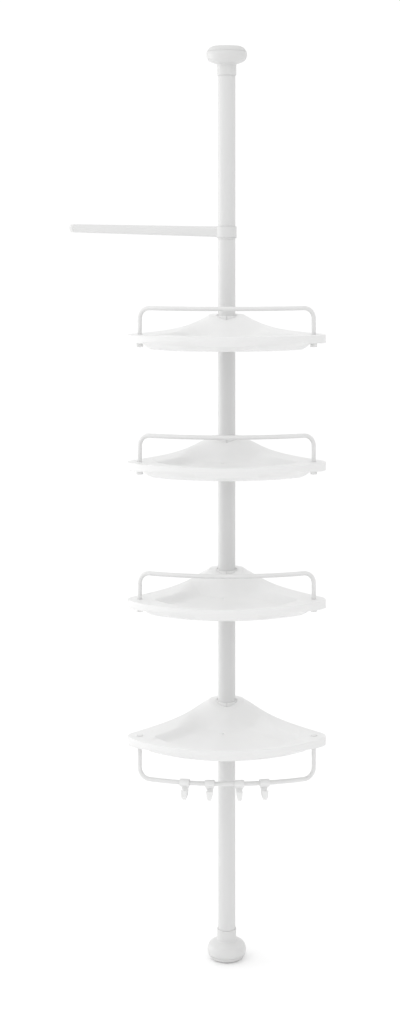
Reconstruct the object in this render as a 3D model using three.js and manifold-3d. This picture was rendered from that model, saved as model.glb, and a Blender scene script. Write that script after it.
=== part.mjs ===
// Tension pole shelf unit: a sprung pole held between floor and ceiling, with four corner trays,
// a wire rail on each tray, a towel arm that turns on the pole and four hooks on the lowest rail.
// Millimetres, +Z up and -Y to the front, with the origin at the centre of the floor pad's underside.
// "Forward" below means the distance in front of the pole's axis, so it is -Y.
import * as THREE from 'three';
import { mergeVertices } from 'three/addons/utils/BufferGeometryUtils.js';
import Module from 'manifold-3d';

const wasm = await Module();
wasm.setup();
const { clamp, degToRad, lerp, smoothstep } = THREE.MathUtils;

// Whole unit
const unitHeight = 1320;
const clearance = 0.3;
const cutOverrun = 2;
const weldDistance = 1e-5;
const finePoints = 32;
const roundPoints = 24;
const smallPoints = 12;
const capPoints = 8;

// Pole: three tubes of one diameter over two inner couplers
const poleDiameter = 25;
const tubeWall = 1.2;
const couplerLength = 90;
const couplerWall = 1.4;

// Feet: a cup with a neck over the tube, and a rubber pad under the cup
const floorFootDiameter = 56;
const ceilingFootDiameter = 59;
const neckDiameter = 27.6;
const footHeight = 42;
const footBodyHeight = 25.5;
const padHeight = 7;
const footWeb = 3;
const ceilingTravel = 20;

// Spring and plunger inside the upper tube
const plungerDiameter = 8;
const guideLength = 14;
const followerLength = 5;
const springLength = 80;
const springTurns = 10;
const springWire = 1.6;
const springMeanDiameter = 15.5;
const springSides = 5;
const springTurnSteps = 8;
const seatLength = 12;

// Trays: how far the ears' top faces lie below the ceiling, from the lowest tray to the highest
const trayDrops = { fourth: 968, third: 778, second: 587, first: 410 };
const trayWidth = 276;
const trayFront = 178;
const trayBack = 19;
const trayBackWidth = 48;
const trayDepth = 21;
const trayWall = 2.6;
const floorDrop = 8;
const floorSlope = 4;
const rimWidth = 4;
const rimRound = 1.2;
const frontLift = 2;
const frontLiftStart = 110;
const frontEdge = 3.5;
const earRadius = 17;
const earThickness = 11.5;

// Trays: the raised back round the pole, the mound that runs down to the floor, and the flat bank
// along each side, which drops to the floor by a step. The step fades out towards the pole.
const humpRise = 21.6;
const humpTop = 25;
const humpSpread = 31;
const collarRise = 13.5;
const moundStart = 16;
const moundEnd = 60;
const bankWidth = 47;
const bankStep = 15;
const stepNear = 50;
const stepFar = 100;

// Trays: the dish inside the rim, the body under it, and the hollow and ribs underneath
const dishSideMargin = 31;
const dishFrontMargin = 6;
const dishCorner = 28;
const bodySideSetback = 23;
const bodyTopSideMargin = 22;
const bodyTopFrontMargin = 3;
const bodyBottomSideMargin = 33;
const bodyBottomFrontMargin = 36;
const bodyCorner = 14;
const hollowStart = 27;
const hollowHalfAngle = 43;
const ribThickness = 2.4;
const ribAngles = [-29, -14, 14, 29];
const drainDiameter = 5;
const drainForward = 66;
const drainLeft = 6;

// Bushes: two half sleeves between pole and tray, wider at the foot, on a flange. They stand proud
// of the collar's front by the bush rise.
const bushTopWall = 2;
const bushBottomWall = 3.2;
const bushFlangeWall = 5.5;
const bushFlangeHeight = 3;
const bushSlot = 1.2;
const bushRise = 6.5;

// Rails: one bent wire through both ears of a tray
const wireDiameter = 6;
const wireClearance = 0.3;
const wireBend = 15;
const railBow = 26;
const railRise = 37;
const lowRailDrop = 58.5;
const wireTail = 4.5;
const wireSides = 8;
const railSteps = 38;
const capWall = 1.5;
const capTop = 1.2;
const coverThickness = 1.2;
const coverSpigot = 2.5;

// Hooks on the lowest rail, placed by their distance to the right of the pole
const hookPlaces = [-57.8, -23.4, 17.3, 51.9];
const hookWidth = 13;
const hookWaist = 8.6;
const hookPoint = 3;
const hookDrop = 23;
const hookRingWall = 1.9;
const hookThickness = 2.8;
const hookMouth = 7;
const hookTipRise = 8;
const hookBack = 5.1;

// Towel arm: a ring on a thin liner, and a bar that tapers to its tip
const armDrop = 269;
const armReach = 276;
const armYaw = 150;
const armRingHeight = 16;
const armRingWall = 0.9;
const armLinerWall = 0.6;
const armLinerGap = 0.2;
const armLipHeight = 1;
const armRootHeight = 15.4;
const armTipHeight = 12.5;
const armRootThickness = 9.5;
const armTipThickness = 8;
const armTipRise = 3.5;
const armCapLength = 7;
const armStations = 6;

// Values that follow from the ones above
const poleRadius = poleDiameter / 2;
const tubeBore = poleRadius - tubeWall;
const socketFloor = padHeight + clearance + footWeb;
const tubeTop = unitHeight - socketFloor - clearance - ceilingTravel;
const tubeBottom = socketFloor + clearance;
const trayNumbers = { fourth: 4, third: 3, second: 2, first: 1 };
const trayHeights = {};
for (const [place, drop] of Object.entries(trayDrops)) trayHeights[place] = unitHeight - drop;

// Materials
const paintedSteel = { color: 0xe9e9e8, roughness: 0.35, metalness: 0 };
const whitePlastic = { color: 0xf4f4f2, roughness: 0.4, metalness: 0 };
const clampPlastic = { color: 0xe2e2e0, roughness: 0.5, metalness: 0 };
const paleRubber = { color: 0xd9d9d7, roughness: 0.8, metalness: 0 };
const coatedWire = { color: 0xf0f0ef, roughness: 0.3, metalness: 0 };
const platedSteel = { color: 0xb9bcc0, roughness: 0.3, metalness: 1 };

// Solids

function piece(name, geometry, finish) {
  const mesh = new THREE.Mesh(geometry, new THREE.MeshStandardMaterial(finish));
  mesh.name = name;
  return mesh;
}

// Merges shared corners and drops the triangles that collapse on an axis.
function closedGeometry(geometry) {
  geometry.deleteAttribute('normal');
  geometry.deleteAttribute('uv');
  const merged = mergeVertices(geometry, weldDistance);
  const corners = merged.index.array;
  const kept = [];
  for (let i = 0; i < corners.length; i += 3) {
    const [a, b, c] = [corners[i], corners[i + 1], corners[i + 2]];
    if (a !== b && b !== c && c !== a) kept.push(a, b, c);
  }
  merged.setIndex(kept);
  return merged;
}

function toManifold(geometry) {
  const closed = closedGeometry(geometry);
  return new wasm.Manifold(new wasm.Mesh({
    numProp: 3,
    vertProperties: new Float32Array(closed.attributes.position.array),
    triVerts: new Uint32Array(closed.index.array),
  }));
}

function fromManifold(solid) {
  const mesh = solid.getMesh();
  const geometry = new THREE.BufferGeometry();
  const positions = new THREE.BufferAttribute(new Float32Array(mesh.vertProperties), 3);
  geometry.setAttribute('position', positions);
  geometry.setIndex(Array.from(mesh.triVerts));
  geometry.computeVertexNormals();
  return geometry;
}

// A solid of revolution about Z. The profile is a list of [radius, height], outer side going up,
// and it starts and ends on the axis or comes back to its first point.
function turned(profile, sides) {
  const points = profile.map(([radius, height]) => new THREE.Vector2(radius, height));
  const lathe = new THREE.LatheGeometry(points, sides);
  lathe.rotateX(Math.PI / 2);
  const solid = closedGeometry(lathe);
  solid.computeVertexNormals();
  return solid;
}

function tube(outer, inner, bottom, top, sides) {
  return turned([[inner, bottom], [outer, bottom], [outer, top], [inner, top], [inner, bottom]], sides);
}

function rod(radius, bottom, top, sides) {
  return turned([[0, bottom], [radius, bottom], [radius, top], [0, top]], sides);
}

// A flat outline in the plane of two axes, drawn out along Z from one height to another.
function prism(points, bottom, top) {
  const shape = new THREE.Shape(points.map(([x, y]) => new THREE.Vector2(x, y)));
  const solid = new THREE.ExtrudeGeometry(shape, { depth: top - bottom, bevelEnabled: false });
  solid.translate(0, 0, bottom);
  return solid;
}

function circlePoints(radius, sides) {
  const points = [];
  for (let i = 0; i < sides; i += 1) {
    const angle = (2 * Math.PI * i) / sides;
    points.push(new THREE.Vector2(radius * Math.cos(angle), radius * Math.sin(angle)));
  }
  return points;
}

function wireAlong(curve, diameter, sides, steps) {
  const section = new THREE.Shape(circlePoints(diameter / 2, sides));
  return new THREE.ExtrudeGeometry(section, { steps, bevelEnabled: false, extrudePath: curve });
}

// Joins rings of equal length into one closed skin. With wrap the last ring meets the first,
// and without it the first and last rings are closed by a fan.
function loft(rings, wrap) {
  const count = rings[0].length;
  const positions = rings.flat().flatMap((point) => [point.x, point.y, point.z]);
  const corners = [];
  const spans = wrap ? rings.length : rings.length - 1;
  for (let i = 0; i < spans; i += 1) {
    const near = i * count;
    const far = ((i + 1) % rings.length) * count;
    for (let j = 0; j < count; j += 1) {
      const next = (j + 1) % count;
      corners.push(near + j, far + next, near + next);
      corners.push(near + j, far + j, far + next);
    }
  }
  if (!wrap) {
    const last = (rings.length - 1) * count;
    for (let j = 1; j < count - 1; j += 1) {
      corners.push(0, j, j + 1);
      corners.push(last, last + j + 1, last + j);
    }
  }
  const geometry = new THREE.BufferGeometry();
  geometry.setAttribute('position', new THREE.BufferAttribute(new Float32Array(positions), 3));
  geometry.setIndex(corners);
  geometry.computeVertexNormals();
  return geometry;
}

// Feet

// Each row is a share of the foot body's height and a share of the way from the neck's radius
// to the foot's full radius.
const padProfileShares = [[0, 0.42], [0.3, 0.72], [1, 0.93]];
const cupProfileShares = [[0, 0.95], [0.27, 1], [0.55, 0.93], [0.76, 0.76], [0.9, 0.44], [1, 0.1]];

function footPad(fullRadius) {
  const neckRadius = neckDiameter / 2;
  const side = padProfileShares.map(([rise, reach]) => {
    return [lerp(neckRadius, fullRadius, reach), rise * padHeight];
  });
  return turned([[0, 0], ...side, [0, padHeight]], roundPoints);
}

function footCup(fullRadius) {
  const neckRadius = neckDiameter / 2;
  const bottom = padHeight + clearance;
  const side = cupProfileShares.map(([rise, reach]) => {
    return [lerp(neckRadius, fullRadius, reach), lerp(bottom, footBodyHeight, rise)];
  });
  const bore = poleRadius + clearance;
  return turned([
    [0, bottom],
    ...side,
    [neckRadius, footBodyHeight],
    [neckRadius, footHeight],
    [bore, footHeight],
    [bore, socketFloor],
    [0, socketFloor],
  ], roundPoints);
}

function makeFoot(name, diameter) {
  const foot = new THREE.Group();
  foot.add(piece(`${name}_cup`, footCup(diameter / 2), whitePlastic));
  foot.add(piece(`${name}_pad`, footPad(diameter / 2), paleRubber));
  return foot;
}

// Pole

function makePole() {
  const pole = new THREE.Group();
  const lowSeam = trayHeights.third;
  const highSeam = trayHeights.first;
  const spans = {
    lower_tube: [tubeBottom, lowSeam - clearance / 2],
    middle_tube: [lowSeam + clearance / 2, highSeam - clearance / 2],
    upper_tube: [highSeam + clearance / 2, tubeTop],
  };
  for (const [name, [bottom, top]] of Object.entries(spans)) {
    pole.add(piece(name, tube(poleRadius, tubeBore, bottom, top, finePoints), paintedSteel));
  }
  const couplerRadius = tubeBore - clearance;
  const seams = { lower_coupler: lowSeam, upper_coupler: highSeam };
  for (const [name, seam] of Object.entries(seams)) {
    const bottom = seam - couplerLength / 2;
    const top = seam + couplerLength / 2;
    const sleeve = tube(couplerRadius, couplerRadius - couplerWall, bottom, top, roundPoints);
    pole.add(piece(name, sleeve, platedSteel));
  }
  return pole;
}

// Spring and plunger

class SpringCurve extends THREE.Curve {
  constructor(bottom, top) {
    super();
    this.bottom = bottom;
    this.top = top;
  }

  getPoint(share) {
    const angle = 2 * Math.PI * springTurns * share;
    const radius = springMeanDiameter / 2;
    const height = lerp(this.bottom, this.top, share);
    return new THREE.Vector3(radius * Math.cos(angle), radius * Math.sin(angle), height);
  }
}

function makePlunger() {
  const plunger = new THREE.Group();
  const sleeveRadius = tubeBore - clearance;
  const plungerRadius = plungerDiameter / 2;
  const guideBottom = tubeTop - guideLength;
  const followerTop = guideBottom - clearance;
  const followerBottom = followerTop - followerLength;
  const springTop = followerBottom - clearance;
  const springBottom = springTop - springLength;
  const seatTop = springBottom - clearance;
  const rodTop = unitHeight - socketFloor - clearance;
  const rodBottom = followerTop + clearance;
  const guide = tube(sleeveRadius, plungerRadius + clearance, guideBottom, tubeTop, roundPoints);
  plunger.add(piece('plunger_guide', guide, clampPlastic));
  plunger.add(piece('plunger_rod', rod(plungerRadius, rodBottom, rodTop, smallPoints), platedSteel));
  const follower = rod(sleeveRadius, followerBottom, followerTop, roundPoints);
  plunger.add(piece('plunger_follower', follower, clampPlastic));
  const curve = new SpringCurve(springBottom + springWire / 2, springTop - springWire / 2);
  const coil = wireAlong(curve, springWire, springSides, springTurns * springTurnSteps);
  plunger.add(piece('plunger_spring', coil, platedSteel));
  const seat = rod(sleeveRadius, seatTop - seatLength, seatTop, roundPoints);
  plunger.add(piece('spring_seat', seat, clampPlastic));
  return plunger;
}

// Tray plans

// A corner plan has a straight back, sides at 45 degrees, round ears and a front arc that runs
// smoothly into the ears. All its outlines are reached from the pole's axis by one distance.
function cornerPlan({ side, back, width, front, corner }) {
  const earX = width / 2 - corner;
  const earForward = earX - side + corner * Math.SQRT2;
  const rest = front - corner;
  const arcCentre = (rest ** 2 - earX ** 2 - earForward ** 2) / (2 * (rest - earForward));
  const arcRadius = front - arcCentre;
  const toEar = new THREE.Vector2(earX, earForward - arcCentre).setLength(arcRadius);
  const sideX = earX + corner * Math.SQRT1_2;
  const sideForward = earForward - corner * Math.SQRT1_2;
  return {
    side,
    back,
    corner,
    earX,
    earForward,
    arcCentre,
    arcRadius,
    frontEnd: Math.atan2(toEar.x, toEar.y + arcCentre),
    sideStart: Math.atan2(sideX, sideForward),
  };
}

// The distance from the pole's axis to a plan's outline, at an angle from the front.
function reachOf(plan, angle) {
  const across = Math.sin(Math.abs(angle));
  const ahead = Math.cos(angle);
  if (Math.abs(angle) <= plan.frontEnd) {
    const offset = plan.arcCentre * across;
    return plan.arcCentre * ahead + Math.sqrt(plan.arcRadius ** 2 - offset ** 2);
  }
  if (Math.abs(angle) < plan.sideStart) {
    const along = plan.earX * across + plan.earForward * ahead;
    const aside = plan.earX * ahead - plan.earForward * across;
    return along + Math.sqrt(plan.corner ** 2 - aside ** 2);
  }
  const toSide = plan.side / (across - ahead);
  const toBack = ahead < 0 ? plan.back / -ahead : Infinity;
  return Math.min(toSide, toBack);
}

const sideOffset = trayBackWidth / 2 + trayBack;
const outerPlan = cornerPlan({
  side: sideOffset,
  back: trayBack,
  width: trayWidth,
  front: trayFront,
  corner: earRadius,
});
const dishPlan = cornerPlan({
  side: sideOffset - rimWidth * Math.SQRT2,
  back: trayBack - rimWidth,
  width: trayWidth - 2 * dishSideMargin,
  front: trayFront - dishFrontMargin,
  corner: dishCorner,
});
const bodyTopPlan = cornerPlan({
  side: sideOffset - bodySideSetback * Math.SQRT2,
  back: trayBack,
  width: trayWidth - 2 * bodyTopSideMargin,
  front: trayFront - bodyTopFrontMargin,
  corner: bodyCorner,
});
const bodyBottomPlan = cornerPlan({
  side: sideOffset - bodySideSetback * Math.SQRT2,
  back: trayBack,
  width: trayWidth - 2 * bodyBottomSideMargin,
  front: trayFront - bodyBottomFrontMargin,
  corner: bodyCorner,
});

// Spoke angles round the pole, closer where the outline bends.
const frontAngleShares = [0, 0.2, 0.4, 0.58, 0.74, 0.8, 0.86, 0.94];
const earAngleShares = [0, 0.3, 0.65, 1];
const sideAngleShares = [0.08, 0.2, 0.35, 0.51, 0.67, 0.83, 1];
const backAngleShares = [0.35, 0.7];

function spokeAngles() {
  const { frontEnd, sideStart } = outerPlan;
  const backCorner = Math.atan2(trayBackWidth / 2, -trayBack);
  const half = [
    ...frontAngleShares.map((share) => share * frontEnd),
    ...earAngleShares.map((share) => lerp(frontEnd, sideStart, share)),
    ...sideAngleShares.map((share) => lerp(sideStart, backCorner, share)),
    ...backAngleShares.map((share) => lerp(backCorner, Math.PI, share)),
  ];
  const mirrored = half.slice(1).reverse().map((angle) => -angle);
  return [...half, Math.PI, ...mirrored];
}

// Tray heights, from the ears' top face

function rimHeight(reach, forward) {
  const hump = humpRise * Math.exp(-Math.max(0, reach - humpTop) / humpSpread);
  return hump + frontLift * smoothstep(forward, frontLiftStart, trayFront);
}

function rimAt(angle) {
  const outer = reachOf(outerPlan, angle);
  return rimHeight(outer, outer * Math.cos(angle));
}

// The height of an ear's top face under a disc round the rail's leg.
function earSeat(discRadius) {
  const middle = Math.atan2(outerPlan.earX, outerPlan.earForward);
  const half = Math.asin(discRadius / Math.hypot(outerPlan.earX, outerPlan.earForward));
  return Math.max(rimAt(middle - half), rimAt(middle), rimAt(middle + half));
}

// The mound slopes from the collar round the pole to the floor. The bank follows the rim's height
// and meets the mound or the floor at its width from the side.
function floorHeight(angle, reach) {
  const across = Math.abs(reach * Math.sin(angle));
  const forward = reach * Math.cos(angle);
  const collar = lerp(humpRise, collarRise, clamp((forward + trayBack) / (2 * trayBack), 0, 1));
  const mound = lerp(collar, -floorDrop, smoothstep(reach, moundStart, moundEnd));
  const fromSide = (sideOffset - across + forward) / Math.SQRT2;
  const stepShare = smoothstep(reach, stepNear, stepFar);
  const stepStart = lerp(rimWidth, bankWidth - bankStep, stepShare);
  return lerp(rimHeight(reach, 0), mound, smoothstep(fromSide, stepStart, bankWidth));
}

const bushTopRadius = poleRadius + clearance + bushTopWall;
const bushBottomRadius = poleRadius + clearance + bushBottomWall;
const moundRingShares = [0, 0.3, 0.6, 1];
const floorRingShares = [0.45, 1];
const moundLimitShare = 0.8;
const floorLimitShare = 0.8;
const dishLimitShare = 0.5;
const bodyCurveShare = 0.42;
const bodyCurveDropShare = 0.58;

// The rings of the tray's skin along one spoke: out over the mound, floor and rim, down the edge
// and in under the body. Each is [reach, height].
function traySpoke(angle) {
  const ahead = Math.cos(angle);
  const topBore = bushTopRadius + clearance;
  const bottomBore = bushBottomRadius + clearance;
  const outer = reachOf(outerPlan, angle);
  const dish = Math.max(reachOf(dishPlan, angle), lerp(topBore, outer, dishLimitShare));
  const floorEdge = Math.max(dish - floorSlope, lerp(topBore, dish, floorLimitShare));
  const moundLimit = Math.min(moundEnd, lerp(topBore, floorEdge, moundLimitShare));
  const hub = bottomBore + trayWall;
  const bodyTop = Math.min(Math.max(reachOf(bodyTopPlan, angle), hub + trayWall), outer);
  const bodyBottom = Math.min(Math.max(reachOf(bodyBottomPlan, angle), hub), bodyTop);
  const rim = rimAt(angle);
  const edgeShare = smoothstep(outer * ahead, frontLiftStart, trayFront);
  const edgeBottom = -lerp(earThickness, frontEdge, edgeShare);
  const reaches = [
    ...moundRingShares.map((share) => lerp(topBore, moundLimit, share)),
    ...floorRingShares.map((share) => lerp(moundLimit, floorEdge, share)),
  ];
  return [
    ...reaches.map((reach) => [reach, floorHeight(angle, reach)]),
    [dish, rim],
    [outer - rimRound, rim],
    [outer, rim - rimRound],
    [outer, edgeBottom],
    [bodyTop, -earThickness],
    [lerp(bodyTop, bodyBottom, bodyCurveShare), -lerp(earThickness, trayDepth, bodyCurveDropShare)],
    [bodyBottom, -trayDepth],
    [bottomBore, -trayDepth],
  ];
}

function traySkin() {
  const spokes = spokeAngles().map((angle) => ({ angle, rows: traySpoke(angle) }));
  const rings = spokes[0].rows.map((_, row) => spokes.map(({ angle, rows }) => {
    const [reach, height] = rows[row];
    return new THREE.Vector3(reach * Math.sin(angle), -reach * Math.cos(angle), height);
  }));
  return loft(rings, true);
}

// The hollow under the floor, with the ribs left standing in it.
function trayHollow() {
  const limit = degToRad(hollowHalfAngle);
  const angles = spokeAngles().filter((angle) => Math.abs(angle) < limit).sort((a, b) => a - b);
  const edge = [-limit, ...angles, limit];
  const outside = edge.map((angle) => [angle, reachOf(bodyBottomPlan, angle) - trayWall]);
  const inside = edge.filter((_, i) => i % 2 === 0).reverse().map((angle) => [angle, hollowStart]);
  const points = [...outside, ...inside].map(([angle, reach]) => {
    return [reach * Math.sin(angle), -reach * Math.cos(angle)];
  });
  let hollow = toManifold(prism(points, -trayDepth - cutOverrun, -floorDrop - trayWall));
  for (const angle of ribAngles) {
    const rib = new THREE.BoxGeometry(ribThickness, trayFront, 2 * trayDepth);
    rib.translate(0, -trayFront / 2, -trayDepth);
    rib.rotateZ(degToRad(angle));
    hollow = hollow.subtract(toManifold(rib));
  }
  return hollow;
}

function trayGeometry() {
  let tray = toManifold(traySkin()).subtract(trayHollow());
  const holeRadius = wireDiameter / 2 + wireClearance;
  for (const side of [-1, 1]) {
    const hole = rod(holeRadius, -earThickness - cutOverrun, cutOverrun, smallPoints);
    hole.translate(side * outerPlan.earX, -outerPlan.earForward, 0);
    tray = tray.subtract(toManifold(hole));
  }
  const drain = rod(drainDiameter / 2, -trayDepth, 0, smallPoints);
  drain.translate(-drainLeft, -drainForward, 0);
  return fromManifold(tray.subtract(toManifold(drain)));
}

// Bushes

function makeBushes(number) {
  const bushes = new THREE.Group();
  const bore = poleRadius + clearance;
  const flangeTop = -trayDepth - clearance;
  const top = collarRise + bushRise;
  const sleeve = toManifold(turned([
    [bore, flangeTop - bushFlangeHeight],
    [bore + bushFlangeWall, flangeTop - bushFlangeHeight],
    [bore + bushFlangeWall, flangeTop],
    [bushBottomRadius, flangeTop],
    [bushBottomRadius, -trayDepth],
    [bushTopRadius, collarRise],
    [bushTopRadius, top],
    [bore, top],
    [bore, flangeTop - bushFlangeHeight],
  ], roundPoints));
  const reach = 2 * (bore + bushFlangeWall);
  for (const [side, direction] of [['left', -1], ['right', 1]]) {
    const half = new THREE.BoxGeometry(reach, 2 * reach, 2 * (top + trayDepth) + 2 * reach);
    half.translate(direction * (reach / 2 + bushSlot / 2), 0, 0);
    const geometry = fromManifold(sleeve.intersect(toManifold(half)));
    bushes.add(piece(`shelf_${number}_bush_${side}`, geometry, clampPlastic));
  }
  return bushes;
}

// Rails

// The wire's middle line: up one leg, round a bend, along a bow and back down the other leg.
// Heights run from the leg's end to the bow, so a hanging rail has its bow below.
class RailCurve extends THREE.Curve {
  constructor(legEnd, bowHeight) {
    super();
    this.legEnd = legEnd;
    this.bowHeight = bowHeight;
    this.turn = Math.sign(bowHeight - legEnd);
    this.legLength = Math.abs(bowHeight - legEnd) - wireBend;
    this.bowRadius = (outerPlan.earX ** 2 + railBow ** 2) / (2 * railBow);
    this.halfBow = this.bowRadius * Math.asin(outerPlan.earX / this.bowRadius);
    this.bendLength = (Math.PI / 2) * wireBend;
    this.halfLength = this.legLength + this.bendLength + this.halfBow - wireBend;
  }

  // A point on the bow's plan, by the distance along it from the middle.
  planPoint(distance, height) {
    const angle = distance / this.bowRadius;
    const forward = outerPlan.earForward + railBow - this.bowRadius * (1 - Math.cos(angle));
    return new THREE.Vector3(this.bowRadius * Math.sin(angle), -forward, height);
  }

  getPoint(share) {
    const position = (2 * share - 1) * this.halfLength;
    const side = Math.sign(position);
    const fromEnd = this.halfLength - Math.abs(position);
    if (fromEnd <= this.legLength) {
      return this.planPoint(side * this.halfBow, this.legEnd + this.turn * fromEnd);
    }
    if (fromEnd <= this.legLength + this.bendLength) {
      const angle = (fromEnd - this.legLength) / wireBend;
      const height = this.bowHeight - this.turn * wireBend * (1 - Math.sin(angle));
      return this.planPoint(side * (this.halfBow - wireBend * (1 - Math.cos(angle))), height);
    }
    return this.planPoint(position, this.bowHeight);
  }
}

// A cup pushed on to the end of a rail's leg under the ear.
function legCap() {
  const bore = wireDiameter / 2 + wireClearance;
  const top = -earThickness - clearance;
  const endFace = -earThickness - wireTail - clearance;
  return turned([
    [0, endFace - capTop],
    [bore + capWall / 2, endFace - capTop],
    [bore + capWall, endFace],
    [bore + capWall, top],
    [bore, top],
    [bore, endFace],
    [0, endFace],
  ], capPoints);
}

// A flat cover with a spigot, over the end of a leg that comes up into the ear.
const coverRadius = wireDiameter / 2 + capWall;
const coverSeat = earSeat(coverRadius);

function legCover() {
  const spigot = wireDiameter / 2;
  const underside = coverSeat + clearance;
  return turned([
    [0, coverSeat - coverSpigot],
    [spigot, coverSeat - coverSpigot],
    [spigot, underside],
    [coverRadius, underside],
    [coverRadius, underside + coverThickness / 2],
    [spigot, underside + coverThickness],
    [0, underside + coverThickness],
  ], capPoints);
}

function makeRail(number, hanging) {
  const rail = new THREE.Group();
  const legEnd = hanging ? coverSeat - coverSpigot - clearance : -earThickness - wireTail;
  const curve = new RailCurve(legEnd, hanging ? -lowRailDrop : railRise);
  const wire = wireAlong(curve, wireDiameter, wireSides, railSteps);
  rail.add(piece(`shelf_${number}_rail`, wire, coatedWire));
  for (const [side, direction] of [['left', -1], ['right', 1]]) {
    const end = piece(`shelf_${number}_rail_cap_${side}`, hanging ? legCover() : legCap(), clampPlastic);
    end.position.set(direction * outerPlan.earX, -outerPlan.earForward, 0);
    rail.add(end);
  }
  return rail;
}

// Hooks

// The hook's side view: a ring round the wire, a shank behind it and a round bend that comes up
// to a tip in front. X is forward and Y is up, from the wire's centre.
function hookSide() {
  const ring = wireDiameter / 2 + wireClearance + hookRingWall;
  const bendInner = hookMouth / 2;
  const bendOuter = bendInner + hookThickness;
  const bendX = bendOuter - hookBack;
  const bendY = bendOuter - hookDrop;
  const shape = new THREE.Shape();
  const shankFront = hookThickness - hookBack;
  const shankTop = -Math.sqrt(ring ** 2 - shankFront ** 2);
  const backTop = -Math.sqrt(ring ** 2 - hookBack ** 2);
  shape.moveTo(-hookBack, backTop);
  shape.lineTo(-hookBack, bendY);
  shape.absarc(bendX, bendY, bendOuter, Math.PI, 2 * Math.PI, false);
  shape.lineTo(bendX + bendOuter, bendY + hookTipRise - hookThickness / 2);
  shape.absarc(bendX + bendOuter - hookThickness / 2, bendY + hookTipRise - hookThickness / 2,
    hookThickness / 2, 0, Math.PI, false);
  shape.lineTo(bendX + bendInner, bendY);
  shape.absarc(bendX, bendY, bendInner, 0, Math.PI, true);
  shape.lineTo(shankFront, shankTop);
  const shankAngle = Math.atan2(shankTop, shankFront);
  const backAngle = Math.atan2(backTop, -hookBack);
  shape.absarc(0, 0, ring, shankAngle, backAngle + 2 * Math.PI, false);
  const hole = new THREE.Path();
  hole.absarc(0, 0, wireDiameter / 2 + wireClearance, 0, 2 * Math.PI, true);
  shape.holes.push(hole);
  return shape;
}

const hookWaistDropShare = 0.4;
const hookNeckDropShare = 0.72;
const hookNeckWidthShare = 0.85;

// The hook's front view: as wide as its clip at the wire and pointed at the bottom.
function hookFront() {
  const ring = wireDiameter / 2 + wireClearance + hookRingWall;
  const levels = [
    [hookWidth / 2, ring + cutOverrun],
    [hookWidth / 2, -ring / 2],
    [hookWaist / 2, -hookDrop * hookWaistDropShare],
    [(hookWaist / 2) * hookNeckWidthShare, -hookDrop * hookNeckDropShare],
    [hookPoint / 2, -hookDrop - clearance],
  ];
  const left = levels.map(([x, y]) => [-x, y]).reverse();
  return prism([...left, ...levels], -hookDrop, hookDrop);
}

function hookGeometry() {
  const side = new THREE.ExtrudeGeometry(hookSide(), {
    depth: hookWidth + 2 * cutOverrun,
    bevelEnabled: false,
    curveSegments: smallPoints / 2,
  });
  side.translate(0, 0, -hookWidth / 2 - cutOverrun);
  side.rotateX(Math.PI / 2);
  side.rotateZ(-Math.PI / 2);
  const front = hookFront();
  front.rotateX(Math.PI / 2);
  return fromManifold(toManifold(side).intersect(toManifold(front)));
}

function makeHooks() {
  const hooks = new THREE.Group();
  const curve = new RailCurve(0, -lowRailDrop);
  hookPlaces.forEach((place, i) => {
    const angle = Math.asin(place / curve.bowRadius);
    const hook = piece(`hook_${i + 1}`, hookGeometry(), whitePlastic);
    hook.position.copy(curve.planPoint(angle * curve.bowRadius, -lowRailDrop));
    hook.rotation.z = angle;
    hooks.add(hook);
  });
  return hooks;
}

// Shelves

function makeShelf(place) {
  const shelf = new THREE.Group();
  const number = trayNumbers[place];
  const hanging = place === 'fourth';
  shelf.add(piece(`shelf_${number}_tray`, trayGeometry(), whitePlastic));
  shelf.add(makeBushes(number));
  shelf.add(makeRail(number, hanging));
  if (hanging) shelf.add(makeHooks());
  shelf.position.z = trayHeights[place];
  return shelf;
}

// Towel arm

const armPoints = 14;
const armRoundness = 0.7;
const armCapShoulderShare = 0.75;
const armCapEndShare = 0.8;

// One section of the arm, at a distance along +X: an oval with flattened sides, drawn in to a
// share of the arm's size there.
function armSection(distance, sizeShare) {
  const share = distance / armReach;
  const height = lerp(armRootHeight, armTipHeight, share) * sizeShare;
  const thickness = lerp(armRootThickness, armTipThickness, share) * sizeShare;
  return circlePoints(1, armPoints).map((point) => {
    const across = Math.sign(point.x) * Math.abs(point.x) ** armRoundness * (thickness / 2);
    const up = Math.sign(point.y) * Math.abs(point.y) ** armRoundness * (height / 2);
    return new THREE.Vector3(distance, -across, armTipRise * share + up);
  });
}

function armLength(from, to) {
  const sections = [];
  for (let i = 0; i <= armStations; i += 1) {
    sections.push(armSection(lerp(from, to, i / armStations), 1));
  }
  return loft(sections, false);
}

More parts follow.
